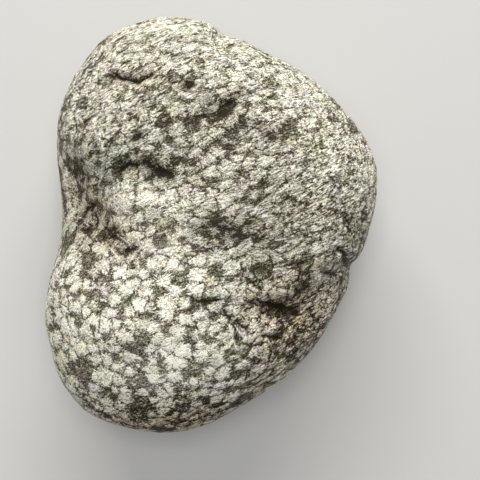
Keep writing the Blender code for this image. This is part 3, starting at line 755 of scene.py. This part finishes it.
def flow_places(points):
    """Places counted along the flow, across it and upwards. Across a bend the lines of equal count lean by
    the bend's tangent, and all the lines sway a little."""
    turn = np.radians(FLOW_TURN)
    along = points[:, 0] * np.cos(turn) + points[:, 1] * np.sin(turn)
    across = points[:, 1] * np.cos(turn) - points[:, 0] * np.sin(turn)
    for x, y, half_length, half_width, leaning, bend in FLOW_BENDS:
        share = oval_bell(points, x, y, half_length, half_width, leaning)
        across -= np.tan(np.radians(bend)) * (points[:, 0] - x) * share
    across += FLOW_SWAY * grain(points, *FLOW_SWAY_GRAIN)
    return np.column_stack([along, across, points[:, 2]])


def streaks_at(points):
    """0 where the snowflakes lie clear, as in the lower lobe, and 1 where streaks cover them."""
    faint = FAINT_STREAKS * fade(points[:, :2] @ np.array(STREAKS_TOWARDS), *STREAKS_FROM)
    return np.clip(faint + forms(points, STRONG_STREAKS), 0, 1)


def dark_at(points, upper):
    """The strength of the dark patches at each point of the broad face, from 0 to 1: full inside a patch's
    inner edge and none past its outer one. Under streaks the patches are smaller and fainter."""
    strength = np.zeros(len(points))
    streaks = streaks_at(points)
    for patch in DARK_PATCHES:
        away = np.sqrt(-np.log(np.maximum(oval_bell(points, *patch), NEXT_TO_NOTHING)))
        away = away * (1 + SHRUNK_PATCHES * streaks)
        strength = np.maximum(strength, fade(-away, *np.negative(PATCH_EDGE)))
    return upper * strength * (1 - FAINT_PATCHES * streaks)


class Flakes:
    """The snowflakes on the stone: their middles, radii, and three traits each from 0 to 1, which are how
    full the flake is, how bright and how warm."""

    def __init__(self, points, normals, areas, settings):
        rng = np.random.default_rng(settings.seed)
        places, radii, traits = self.named(points, normals)
        share = areas / areas.sum()
        earlier = np.tril(np.ones((FLAKE_BATCH, FLAKE_BATCH), bool), -1)
        for _ in range(FLAKE_ROUNDS):
            tried = rng.choice(len(points), FLAKE_BATCH, p=share)
            size = self.radius_at(points[tried], settings) * rng.uniform(*RADIUS_SPREAD, FLAKE_BATCH)
            clear = self.apart(points[tried], size, points[places], radii, settings.closeness).all(axis=1)
            among = self.apart(points[tried], size, points[tried], size, settings.closeness)
            clear &= ~(earlier & ~among & clear[None, :]).any(axis=1)
            kept = tried[clear]
            places = np.concatenate([places, kept])
            radii = np.concatenate([radii, size[clear]])
            traits = np.concatenate([traits, self.random_traits(rng, points[kept], normals[kept], settings)])
        self.middles, self.radii, self.traits = points[places], radii, traits
        self.traits[:, 0] *= 1 - (normals[places, 2] > 0) * forms(self.middles, GLASSY_PLACES)
        self.directions = flow_direction(self.middles)
        stretch = LEAST_STRETCH + STREAKED_STRETCH * streaks_at(self.middles)
        stretch = stretch + forms(self.middles, STRETCHES)
        self.stretch = stretch * rng.uniform(*STRETCH_SPREAD, len(places))

    @staticmethod
    def named(points, normals):
        """The snowflakes that stand out, each at the upper corner that lies nearest in the plan."""
        upper = np.flatnonzero(normals[:, 2] > 0)
        table = np.array([
            (*flake, NAMED_FULLNESS, *TONES[tone]) for tone, flakes in SNOWFLAKES.items() for flake in flakes
        ])
        away = np.linalg.norm(points[upper, None, :2] - table[None, :, :2], axis=2)
        return upper[away.argmin(axis=0)], table[:, 2], table[:, 3:]

    @staticmethod
    def radius_at(points, settings):
        clear, covered = settings.clear_radius / MM, settings.streaked_radius / MM
        return clear + (covered - clear) * streaks_at(points)

    @staticmethod
    def apart(a, size_a, b, size_b, closeness):
        """Which of two sets of flakes lie further apart than a share of their radii's sum."""
        reach = closeness * (size_a[:, None] + size_b[None, :])
        return ((a[:, None, :] - b[None, :, :]) ** 2).sum(axis=2) > reach ** 2

    @staticmethod
    def random_traits(rng, points, normals, settings):
        count = len(points)
        fullness = rng.uniform(*FULLNESS_SPREAD, count)
        empty = rng.random(count) < settings.empty_share
        fullness = np.where(empty, rng.uniform(*EMPTY_FULLNESS, count), fullness)
        fullness *= 1 - PATCH_THINNING * dark_at(points, normals[:, 2] > 0)
        brightness = rng.uniform(*BRIGHTNESS_SPREAD, count)
        warmth = np.clip(rng.normal(*WARMTH_SPREAD, count), 0, 1)
        return np.column_stack([fullness, brightness, warmth])

    def nearest_two(self, points):
        """For every point the two flakes that it is nearest to, measured in each flake's own radius, and
        along the flow in that radius times its stretch."""
        points, middles, directions, radii, stretch = (
            a.astype(np.float32) for a in (points, self.middles, self.directions, self.radii, self.stretch)
        )
        saved = 1 - 1 / stretch ** 2
        start_along = (middles * directions).sum(axis=1)
        owners = []
        for start in range(0, len(points), NEAREST_CHUNK):
            part = points[start:start + NEAREST_CHUNK]
            square = (part ** 2).sum(axis=1)[:, None] + (middles ** 2).sum(axis=1) - 2 * part @ middles.T
            along = part @ directions.T - start_along
            scaled = (square - saved * along ** 2) / radii ** 2
            two = np.argpartition(scaled, 1, axis=1)[:, :2]
            order = np.argsort(np.take_along_axis(scaled, two, axis=1), axis=1)
            owners.append(np.take_along_axis(two, order, axis=1))
        return np.concatenate(owners)

    def offsets(self, points, owner):
        """From the owner's middle to the point in the owner's radii, less by its stretch along the flow."""
        way, direction = points - self.middles[owner], self.directions[owner]
        along = (way * direction).sum(axis=1) * (1 - 1 / self.stretch[owner])
        return (way - along[:, None] * direction) / self.radii[owner][:, None]


def warped(points):
    """Places pushed about by smooth random amounts, so that what is measured from them has crooked rims."""
    crooked = points
    for push, size, seeds in WARPS:
        crooked = crooked + push * np.column_stack([grain(points, size, seed) for seed in seeds])
    return crooked


def fine_relief(points, normals, flakes, settings):
    """How far each point rises from the slow form, in millimetres: low domes of the snowflakes and cracks
    where two of them meet, ridges and furrows along the flow, lumps, and the named creases and pits."""
    crooked = warped(points)
    owners = flakes.nearest_two(crooked)
    first, second = (np.linalg.norm(flakes.offsets(crooked, owners[:, k]), axis=1) for k in (0, 1))
    fullness = flakes.traits[owners[:, 0], 0]
    streaked = streaks_at(points)
    standing = 1 - STREAKED_FLATTENING * streaked
    domes = settings.dome_height / MM * standing * fullness * (1 - np.minimum(first, DOME_REACH) ** 2)
    cracks = settings.crack_depth / MM * standing * np.exp(-(((second - first) / CRACK_HALF_WIDTH) ** 2))
    flow = flow_places(points)
    furrows = sum(
        height * (least + streaked) * grain(flow / size, 1.0, seed) for height, least, size, seed in FURROWS
    )
    lumps = sum(height * grain(points, size, seed) for height, size, seed in LUMPS)
    wandering = (points + crooked) / 2
    creases = sum(depth * run_bell(wandering, places, width) for places, width, depth, _ in CREASES)
    ridges = sum(rise * run_bell(wandering, places, width) for places, width, rise, _ in RIDGES)
    return domes - cracks + furrows + lumps + fade(normals[:, 2], *MARKS_FADE) * (ridges - creases)


def stone_skin(form, settings):
    """The finished skin: its corners in millimetres, squares, flat map, slow form and snowflakes."""
    directions, squares, flat = box_net()
    plain = body(directions, form)
    slow = plain + slow_relief(directions, plain)[:, None] * normals_of(plain, squares)
    normals = normals_of(slow, squares)
    areas = spread(np.linalg.norm(square_normals(slow, squares), axis=1)[:, None], squares, len(slow))[:, 0]
    flakes = Flakes(slow, normals, areas, settings)
    points = slow + fine_relief(slow, normals, flakes, settings)[:, None] * normals
    points[:, 2] = worn_flat(points[:, 2], form.worn_edge / MM)
    return points, squares, flat, slow, normals, flakes


def store(mesh, name, domain, values):
    """Keeps a vector on each point, face or face corner of the mesh, for its material."""
    attribute = mesh.attributes.new(name, "FLOAT_VECTOR", domain)
    attribute.data.foreach_set("vector", np.ascontiguousarray(values, np.float32).ravel())


def region_values(points, wandering, upper):
    """How streaked each place is, how dark the painted shade of creases makes it, less the painted
    highlights of ridges, and how dark by patches, from 0 to 1.
    """
    lines = sum(dark * run_bell(wandering, places, width) for places, width, _, dark in CREASES + RIDGES)
    return np.column_stack([streaks_at(points), upper * lines, dark_at(points, upper)])


def stone_mesh(form, settings):
    """A mesh of the skin, with what its material needs to know stored on it. Of the snowflakes this is
    the way from the middles of the two nearest, for each square's corners, and their traits."""
    points, squares, flat, slow, normals, flakes = stone_skin(form, settings)
    mesh = bpy.data.meshes.new("obsidian_pebble")
    mesh.from_pydata(points * MM, [], squares)
    mesh.update()
    mesh.shade_smooth()
    flat_map = mesh.uv_layers.new(name="OFBake")
    flat_map.uv.foreach_set("vector", flat.astype(np.float32).ravel())
    crooked = warped(slow)
    owners = flakes.nearest_two(crooked[squares].mean(axis=1))
    corner_places = crooked[squares.ravel()]
    for name, owner in (("near", owners[:, 0]), ("next", owners[:, 1])):
        store(mesh, f"{name}_offset", "CORNER", flakes.offsets(corner_places, np.repeat(owner, 4)))
        store(mesh, f"{name}_traits", "FACE", flakes.traits[owner])
    wandering = (slow + crooked) / 2
    upper = fade(normals[:, 2], *MARKS_FADE)
    store(mesh, "regions", "POINT", region_values(slow, wandering, upper))
    store(mesh, "flow", "POINT", flow_places(slow))
    contrast = 1 + upper * forms(slow, CONTRASTS)
    for name, table in (("creases", CREASES), ("ridges", RIDGES)):
        across, darkness = line_values(wandering, table)
        store(mesh, name, "POINT", np.column_stack([across, upper * darkness, contrast]))
    # Painted light and shade, painted warm bounce and the glass's own slow tones, kept on every point as one
    # factor of the colour under the name tone.
    doublings = PAINTED_LIGHT_AND_TONE_TINT * forms(slow, PAINTED_LIGHT_AND_TONES)[:, None]
    doublings = doublings + forms(slow, WARM_BOUNCE_AND_BLUE_PLACES)[:, None] * np.array(BOUNCE_TINT)
    store(mesh, "tone", "POINT", 2.0 ** (upper[:, None] * doublings))
    return mesh


class Value:
    """What comes out of a node. Numbers are added, subtracted and multiplied by nodes of their own."""

    def __init__(self, recipe, socket):
        self.recipe, self.socket = recipe, socket

    def __add__(self, other):
        return self.recipe.math("ADD", self, other)

    def __sub__(self, other):
        return self.recipe.math("SUBTRACT", self, other)

    def __rsub__(self, other):
        return self.recipe.math("SUBTRACT", other, self)

    def __mul__(self, other):
        return self.recipe.math("MULTIPLY", self, other)

    def __abs__(self):
        return self.recipe.math("ABSOLUTE", self)

    __radd__, __rmul__ = __add__, __mul__


class Recipe:
    """Lays out and joins a material's nodes. Its methods add nodes and give back what comes out of them."""

    def __init__(self, name):
        self.material = bpy.data.materials.new(name)
        self.material.use_nodes = True
        self.tree = self.material.node_tree
        self.shader = self.tree.nodes["Principled BSDF"]

    def feed(self, socket, value):
        if isinstance(value, Value):
            self.tree.links.new(value.socket, socket)
        else:
            socket.default_value = value

    def node(self, kind, inputs, output=0, **settings):
        node = self.tree.nodes.new(kind)
        for name, value in settings.items():
            setattr(node, name, value)
        for socket, value in inputs.items():
            self.feed(node.inputs[socket], value)
        return Value(self, node.outputs[output])

    def math(self, operation, a, b=0.0):
        return self.node("ShaderNodeMath", {0: a, 1: b}, operation=operation)

    def step(self, value, low, high, to_low=0.0, to_high=1.0):
        """A smooth step from one value to another as the input goes from low to high."""
        ends = {"Value": value, "From Min": low, "From Max": high, "To Min": to_low, "To Max": to_high}
        return self.node("ShaderNodeMapRange", ends, interpolation_type="SMOOTHSTEP")

    def vector(self, operation, a, b=(0.0, 0.0, 0.0)):
        return self.node("ShaderNodeVectorMath", {0: a, 1: b}, operation=operation)

    def scaled(self, a, scale):
        return self.node("ShaderNodeVectorMath", {0: a, "Scale": scale}, operation="SCALE")

    def length(self, a):
        return self.node("ShaderNodeVectorMath", {0: a}, "Value", operation="LENGTH")

    def parts(self, a):
        """The three numbers of a vector."""
        node = self.tree.nodes.new("ShaderNodeSeparateXYZ")
        self.feed(node.inputs[0], a)
        return [Value(self, output) for output in node.outputs]

    def stored(self, name):
        """What the mesh keeps under a name."""
        return self.node("ShaderNodeAttribute", {}, "Vector", attribute_name=name)

    def mix(self, share, a, b, kind="FLOAT"):
        """Between two numbers, vectors or colours."""
        first, second, output = MIX_SOCKETS[kind]
        return self.node("ShaderNodeMix", {0: share, first: a, second: b}, output, data_type=kind)

    def eyed(self, colour):
        """A colour raised so that mixes of two such colours step evenly to the eye."""
        return self.node("ShaderNodeGamma", {"Color": colour, "Gamma": 1 / EYE_GAMMA})

    def noise(self, place, scale, detail, roughness):
        """Cloudy random numbers about 0, most of them between -0.5 and 0.5."""
        inputs = {"Vector": place, "Scale": scale, "Detail": detail, "Roughness": roughness}
        return 2 * self.node("ShaderNodeTexNoise", inputs, "Fac", noise_dimensions="3D") - 1


def nearer_flake(nodes):
    """The way from the middle of the flake that a place belongs to, its traits, and the gap to the next."""
    near, after = nodes.stored("near_offset"), nodes.stored("next_offset")
    near_away, after_away = nodes.length(near), nodes.length(after)
    swap = nodes.math("GREATER_THAN", near_away, after_away)
    offset = nodes.mix(swap, near, after, "VECTOR")
    traits = nodes.mix(swap, nodes.stored("near_traits"), nodes.stored("next_traits"), "VECTOR")
    return offset, traits, abs(near_away - after_away)


def skin_noises(nodes, offset, traits):
    """All the noises that the look of the skin is made from, by their names."""
    turned, shift = nodes.vector("NORMALIZE", offset), nodes.scaled(traits, FLAKE_SHIFT)
    flow, place = nodes.stored("flow"), nodes.scaled(nodes.node("ShaderNodeTexCoord", {}, "Object"), 1 / MM)
    noises = {}
    for name, (turn_weight, way_weight, *fineness) in FLAKE_NOISES.items():
        spot = nodes.vector("ADD", nodes.scaled(turned, turn_weight), nodes.scaled(offset, way_weight))
        noises[name] = nodes.noise(nodes.vector("ADD", spot, shift), 1.0, *fineness)
    for name, (scales, *fineness) in FLOW_NOISES.items():
        noises[name] = nodes.noise(nodes.vector("MULTIPLY", flow, scales), 1.0, *fineness)
    for name, (start, *fineness) in EVEN_NOISES.items():
        noises[name] = nodes.noise(nodes.vector("ADD", place, start), *fineness)
    return noises


def blend(noises, name):
    """The noises of one blend added up, each times its weight."""
    return sum(weight * noises[noise] for noise, weight in BLENDS[name].items())


def crisp_line(nodes, name, roughness):
    """The painted shade along a crease's line, and the painted highlight along most ridges', on the line and
    0 beside it, with a rough edge.
    """
    across, darkness, _ = nodes.parts(nodes.stored(name))
    return nodes.step(abs(across) + roughness, *LINE_STEP, 1.0, 0.0) * darkness


def skin_material(colours):
    """The etched glass: pale rosettes with lobed, needled rims over dark glass, streaks along the flow that
    cover them in the upper part, fine grain all over, dark joints between the snowflakes, painted shade in
    the named cracks and creases, and painted light, shade and warm bounce over the broad face."""
    nodes = Recipe("etched_snowflake_obsidian")
    streaked, line, patch = nodes.parts(nodes.stored("regions"))
    offset, traits, gap = nearer_flake(nodes)
    fullness, brightness, warmth = nodes.parts(traits)
    away = nodes.length(offset)
    noises = skin_noises(nodes, offset, traits)
    needles, bands = noises["needles"], noises["bands"]

    rim = fullness * (1 + blend(noises, "rim"))
    joint = JOINT_RISE * gap + blend(noises, "joint") + nodes.mix(streaked, *JOINT_OPENING)
    ragged = nodes.step(patch * (PATCH_LEVEL + blend(noises, "patch")), *PATCH_STEP)
    inside = nodes.math("MINIMUM", rim - away, joint) - PATCH_BITE * ragged
    flake, middle = nodes.step(inside, *FLAKE_STEP), nodes.step(inside, *MIDDLE_STEP)
    whole, bright, fringed, central = CLEAR_TONES
    clear = flake * (whole + bright * brightness + fringed * (needles * away) + central * middle)
    under, banded = COVERED_TONES
    covered = under * flake + banded * bands + nodes.mix(ragged, *COVERED_SHIFT)

    threads = nodes.step(abs(noises["threads"]), *THREAD_STEP, 1.0, 0.0)
    glints = nodes.step(noises["glints"], *GLINT_STEP)
    glinting, dark_glinting = GLINT_TONES
    tone = nodes.mix(streaked, clear, covered) + nodes.mix(streaked, *BASE_TONE) - PATCH_SHADE * ragged
    tone = tone + blend(noises, "tone") + nodes.mix(streaked, *STREAK_TONE) * noises["streaks"]
    tone = tone + (glinting + dark_glinting * patch) * glints - nodes.mix(streaked, *THREAD_SHADE) * threads
    _, _, contrast = nodes.parts(nodes.stored("creases"))
    tone = MIDDLE_TONE + (tone - MIDDLE_TONE) * contrast

    roughness = blend(noises, "line edge")
    crease, ridge = crisp_line(nodes, "creases", roughness), crisp_line(nodes, "ridges", roughness)
    soft, crisp = LINE_SHADES
    # Painted shade along creases darkens the tone, and painted highlights along most ridges raise it.
    shaded = nodes.math("MINIMUM", soft * line + crisp * crease, DEEPEST_SHADE)
    tone = tone * (1 - shaded) - RIDGE_LIGHT_AND_SHADE * ridge
    # The painted light and shade also move the mix between glass and snowflake.
    tone = tone + PAINTED_LIGHT_AND_TONE_SHIFT * (nodes.length(nodes.stored("tone")) - PLAIN_FACTOR)
    for operation, limit, softness in TONE_LIMITS:
        tone = nodes.node("ShaderNodeMath", {0: tone, 1: limit, 2: softness}, operation=operation)

    skin = nodes.mix(tone, nodes.eyed(colours.glass), nodes.eyed(colours.snowflake), "RGBA")
    skin = nodes.node("ShaderNodeGamma", {"Color": skin, "Gamma": EYE_GAMMA})
    stained = STAIN_SHARE * (nodes.step(warmth, *STAIN_STEP) * flake)
    skin = nodes.mix(stained, skin, nodes.vector("MULTIPLY", skin, colours.stain[:3]), "RGBA")
    green, blue = HUES
    hueful = HUE_REACH - tone
    hues = {0: 1.0, 1: 1 + green * noises["greens"] * hueful, 2: 1 + blue * noises["blues"] * hueful}
    hue = nodes.node("ShaderNodeCombineXYZ", hues)
    # The colour times the random hues and times the stored factor of painted light, shade and warm bounce.
    skin = nodes.vector("MULTIPLY", skin, nodes.vector("MULTIPLY", hue, nodes.stored("tone")))
    nodes.feed(nodes.shader.inputs["Base Color"], skin)
    dullness = nodes.mix(tone, colours.glass_roughness, colours.flake_roughness)
    nodes.feed(nodes.shader.inputs["Roughness"], dullness)
    nodes.feed(nodes.shader.inputs["Specular IOR Level"], GLOSS)

    banded, lined = BUMP_SHARES
    height = tone + banded * bands - lined * (crease + ridge)
    bump = {"Height": height, "Strength": 1.0, "Distance": colours.bump_height}
    nodes.feed(nodes.shader.inputs["Normal"], nodes.node("ShaderNodeBump", bump))
    return nodes.material


def length_property(name, description, value, low, precision=4):
    return bpy.props.FloatProperty(name=name, description=description, default=value, min=low, unit="LENGTH",
                                   precision=precision)


def share_property(name, description, value):
    return bpy.props.FloatProperty(name=name, description=description, default=value, min=0.0, max=1.0,
                                   subtype="FACTOR")


def colour_property(name, description, value):
    return bpy.props.FloatVectorProperty(name=name, description=description, default=(*value, 1.0), size=4,
                                         min=0.0, max=1.0, subtype="COLOR")


class PebbleForm(bpy.types.PropertyGroup):
    """Heights of the plain body."""
    girth_height: length_property(
        "Girth height", "Mean height of the widest level above the resting face", 0.0126, 0.005)
    crown_rise: length_property("Crown rise", "From the girth to the top, before the domes", 0.0134, 0.002)
    belly_drop: length_property(
        "Belly drop", "From the girth to the underside, before it is worn flat", 0.0132, 0.002)
    worn_edge: length_property(
        "Worn edge", "Half the height over which the underside eases into the resting face",
        0.0003, 0.0001, 5)


class FlakeSettings(bpy.types.PropertyGroup):
    """How the snowflakes lie and how far they stand out."""
    seed: bpy.props.IntProperty(
        name="Seed", description="Another number scatters the snowflakes anew", default=7, min=0)
    clear_radius: length_property(
        "Radius where clear", "Mean radius of the snowflakes in the lower lobe", 0.00122, 0.0004, 5)
    streaked_radius: length_property(
        "Radius where streaked", "Mean radius of the snowflakes under the streaks", 0.00060, 0.0004, 5)
    closeness: bpy.props.FloatProperty(
        name="Closeness", description="The least distance of two middles, as a share of their radii's sum",
        default=0.74, min=0.5, max=1.5)
    empty_share: share_property("Empty share", "The share of the places where no snowflake grew", 0.05)
    dome_height: length_property(
        "Dome height", "How far a snowflake's middle stands above its rim", 0.00005, 0.0, 6)
    crack_depth: length_property(
        "Crack depth", "How deep the cracks between snowflakes are", 0.00006, 0.0, 6)


class SkinColours(bpy.types.PropertyGroup):
    """The colours and the finish of the etched glass."""
    # The painted shade of creases and pits takes the colour down to this darkest glass.
    glass: colour_property("Glass", "The darkest glass, in creases and pits", (0.021, 0.0155, 0.0055))
    snowflake: colour_property("Snowflake", "The palest middles of the snowflakes", (0.92, 0.90, 0.77))
    stain: colour_property("Stain", "What stained snowflakes let through", (0.88, 0.81, 0.62))
    glass_roughness: share_property("Glass roughness", "How dull the glass is", 0.55)
    flake_roughness: share_property("Snowflake roughness", "How dull the snowflakes are", 0.82)
    bump_height: length_property("Grain height", "Height of the finest grain", 0.00009, 0.0, 6)


class StudioSettings(bpy.types.PropertyGroup):
    """The floor, the lights and the camera."""
    floor: colour_property("Floor", "The plain floor under the stone", (0.52, 0.515, 0.50))
    sky: colour_property("Surroundings", "The light of the room", (0.95, 0.97, 1.0))
    sky_strength: bpy.props.FloatProperty(
        name="Surroundings' strength", description="How bright the room is", default=0.20, min=0.0)
    key_power: bpy.props.FloatProperty(
        name="Key light", description="Power of the large soft light behind the stone's top end",
        default=4.8, min=0.0, unit="POWER")
    camera_rise: length_property("Camera rise", "From the stone's girth up to the camera", 0.150, 0.05)
    lens: bpy.props.FloatProperty(
        name="Lens", description="Focal length for a 36 mm sensor", default=84.9, min=10.0, unit="CAMERA")


class OBSIDIAN_OT_stone(bpy.types.Operator):
    """Build the stone's fine skin and its material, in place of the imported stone"""
    bl_idname = "obsidian.stone"
    bl_label = "Build the Stone"
    bl_options = {"REGISTER", "UNDO"}

    def execute(self, context):
        scene = context.scene
        stone = bpy.data.objects.new("obsidian_pebble", stone_mesh(scene.pebble_form, scene.pebble_flakes))
        scene.collection.objects.link(stone)
        stone.data.materials.append(skin_material(scene.pebble_colours))
        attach(stone, "root")
        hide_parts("stone")
        return {"FINISHED"}


def floor_object(studio):
    """A square floor, a hair below the resting face, many times wider than the stone."""
    half = FLOOR_SPAN * max(CAD_HIGH - CAD_LOW)
    level = CAD_LOW.z - FLOOR_GAP
    mesh = bpy.data.meshes.new("floor")
    corners = [(-half, -half, level), (half, -half, level), (half, half, level), (-half, half, level)]
    mesh.from_pydata(corners, [], [(0, 1, 2, 3)])
    nodes = Recipe("plain_floor")
    nodes.feed(nodes.shader.inputs["Base Color"], studio.floor)
    nodes.feed(nodes.shader.inputs["Roughness"], FLOOR_ROUGHNESS)
    mesh.materials.append(nodes.material)
    return bpy.data.objects.new("floor", mesh)


def soft_light(name, key_power, place, size, share, colour):
    """An area light at a place in metres, turned to the stone's middle."""
    lamp = bpy.data.lights.new(name, "AREA")
    lamp.shape = "RECTANGLE"
    lamp.size, lamp.size_y = size
    lamp.energy, lamp.color = share * key_power, colour
    light = bpy.data.objects.new(name, lamp)
    middle = (CAD_LOW + CAD_HIGH) / 2
    light.location = place
    light.rotation_euler = (middle - light.location).to_track_quat("-Z", "Y").to_euler()
    return light


class OBSIDIAN_OT_studio(bpy.types.Operator):
    """Set the floor, the lights and the camera round the stone"""
    bl_idname = "obsidian.studio"
    bl_label = "Set the Studio"
    bl_options = {"REGISTER", "UNDO"}

    def execute(self, context):
        scene = context.scene
        studio = scene.pebble_studio
        floor = floor_object(studio)
        lights = [soft_light(name, studio.key_power, *light) for name, light in LIGHTS.items()]
        camera = bpy.data.objects.new("camera", bpy.data.cameras.new("camera"))
        camera.location = (*CAMERA_OVER, scene.pebble_form.girth_height + studio.camera_rise)
        camera.data.lens = studio.lens
        camera.data.clip_start = CLIP_START
        for piece in (floor, *lights, camera):
            scene.collection.objects.link(piece)
        scene.camera = camera
        scene.view_settings.view_transform = "Standard"
        scene.world = bpy.data.worlds.new("room")
        scene.world.use_nodes = True
        background = scene.world.node_tree.nodes["Background"]
        background.inputs["Color"].default_value = studio.sky
        background.inputs["Strength"].default_value = studio.sky_strength
        return {"FINISHED"}


class OBSIDIAN_PT_panel(bpy.types.Panel):
    """Lists the steps and the settings in the sidebar"""
    bl_label = "Snowflake Obsidian"
    bl_idname = "OBSIDIAN_PT_panel"
    bl_space_type = "VIEW_3D"
    bl_region_type = "UI"
    bl_category = "Obsidian"

    def draw(self, context):
        for operator in (OBSIDIAN_OT_stone, OBSIDIAN_OT_studio):
            self.layout.operator(operator.bl_idname)
        for name in SETTINGS:
            group = getattr(context.scene, name)
            box = self.layout.box()
            for field in group.bl_rna.properties:
                if field.identifier not in ("rna_type", "name"):
                    box.prop(group, field.identifier)


SETTINGS = {
    "pebble_form": PebbleForm,
    "pebble_flakes": FlakeSettings,
    "pebble_colours": SkinColours,
    "pebble_studio": StudioSettings,
}
CLASSES = (*SETTINGS.values(), OBSIDIAN_OT_stone, OBSIDIAN_OT_studio, OBSIDIAN_PT_panel)


def register():
    for item in CLASSES:
        bpy.utils.register_class(item)
    for name, group in SETTINGS.items():
        setattr(bpy.types.Scene, name, bpy.props.PointerProperty(type=group))


def unregister():
    for name in SETTINGS:
        delattr(bpy.types.Scene, name)
    for item in reversed(CLASSES):
        bpy.utils.unregister_class(item)


def main():
    register()
    bpy.ops.obsidian.stone()
    bpy.ops.obsidian.studio()


if __name__ == "__main__":
    main()
